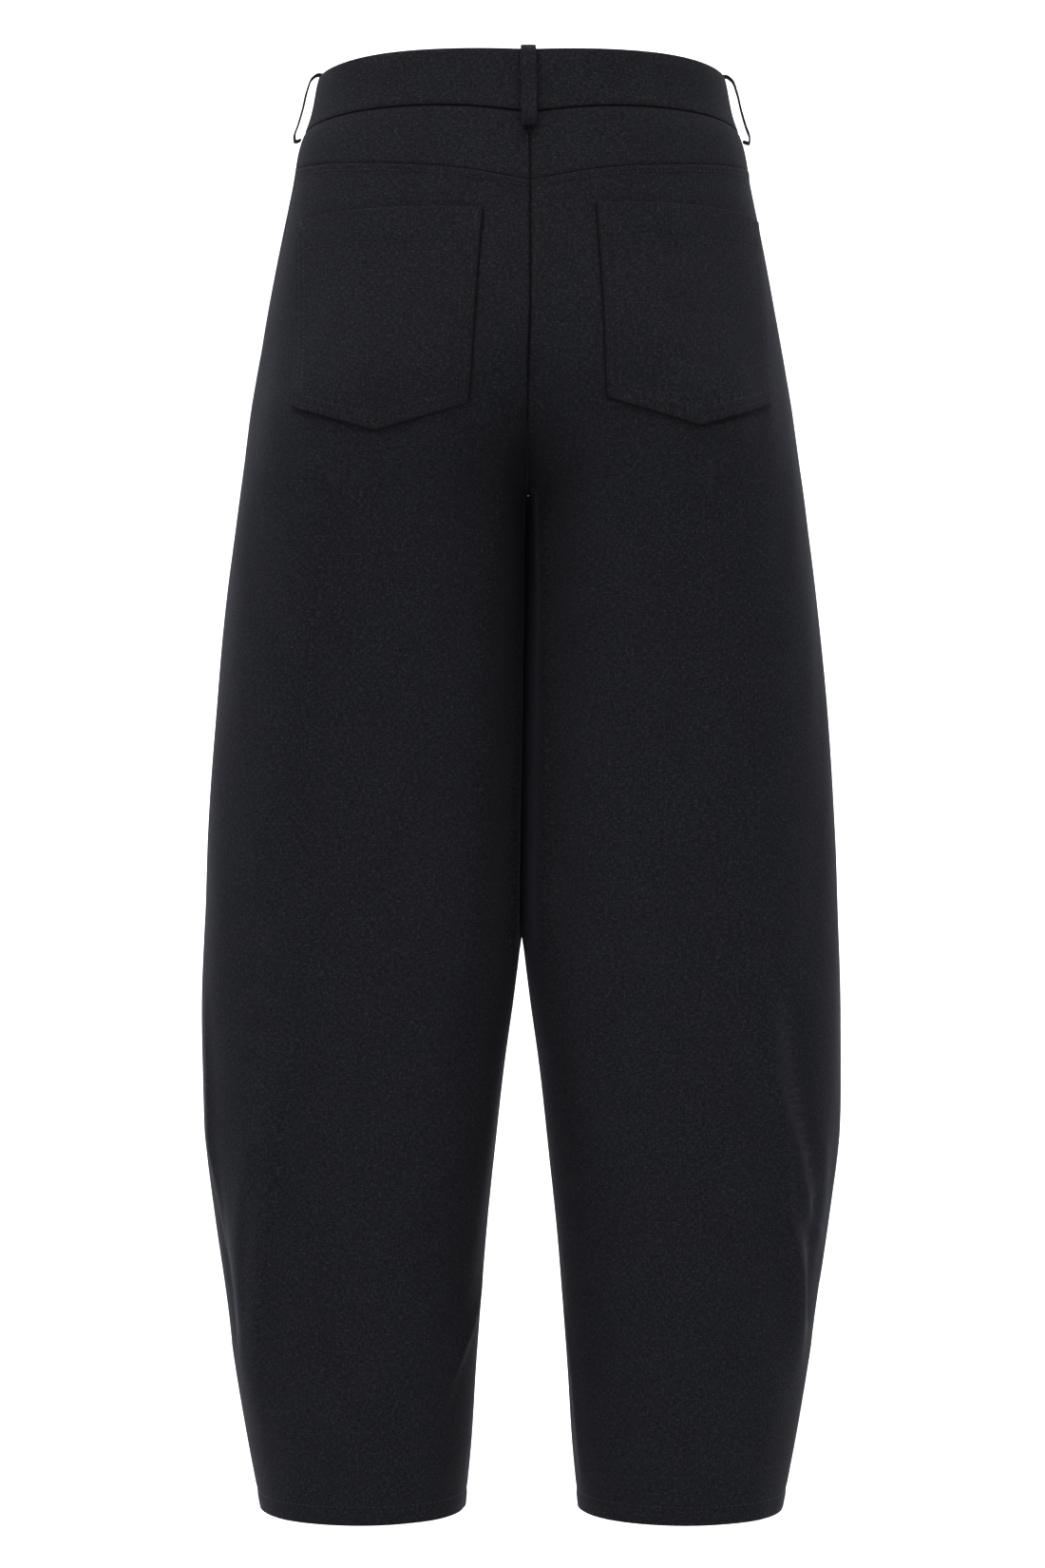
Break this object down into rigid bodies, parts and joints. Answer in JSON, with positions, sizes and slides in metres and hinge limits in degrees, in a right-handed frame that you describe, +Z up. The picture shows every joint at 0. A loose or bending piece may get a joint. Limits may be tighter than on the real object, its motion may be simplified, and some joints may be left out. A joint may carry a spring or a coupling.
{
  "type": "barrel leg trousers",
  "caption": "Barrel leg trousers in dark wool, hollow as worn: waistband with belt loops, back yokes, pointed patch pockets, legs that bow out at the knee and narrow to the hem.",
  "frame": {"origin": "middle of the waist, at half the height of the waistband, where the wearer's waist holds the trousers", "axes": "+Z up the body, -Y to the wearer's front, +X to the wearer's left"},
  "size_m": [0.4292, 0.2499, 0.9638],
  "materials": {
    "wool": "dark ink wool cloth with fine pale flecks, matt",
    "tape": "woven zip tape",
    "metal": "dark nickel",
    "horn": "horn-like button plastic"
  },
  "bodies": {
    "root": {"waistband_left": "wool", "waistband_right": "wool", "back_yoke_left": "wool", "back_yoke_right": "wool", "back_left": "wool", "back_right": "wool", "front_left": "wool", "front_right": "wool", "back_pocket_left": "wool", "back_pocket_right": "wool", "belt_loop_back": "wool", "belt_loop_left": "wool", "belt_loop_right": "wool", "fly_facing": "wool", "zip": "tape", "zip_slider": "metal", "waist_button": "horn"}
  },
  "joints": []
}
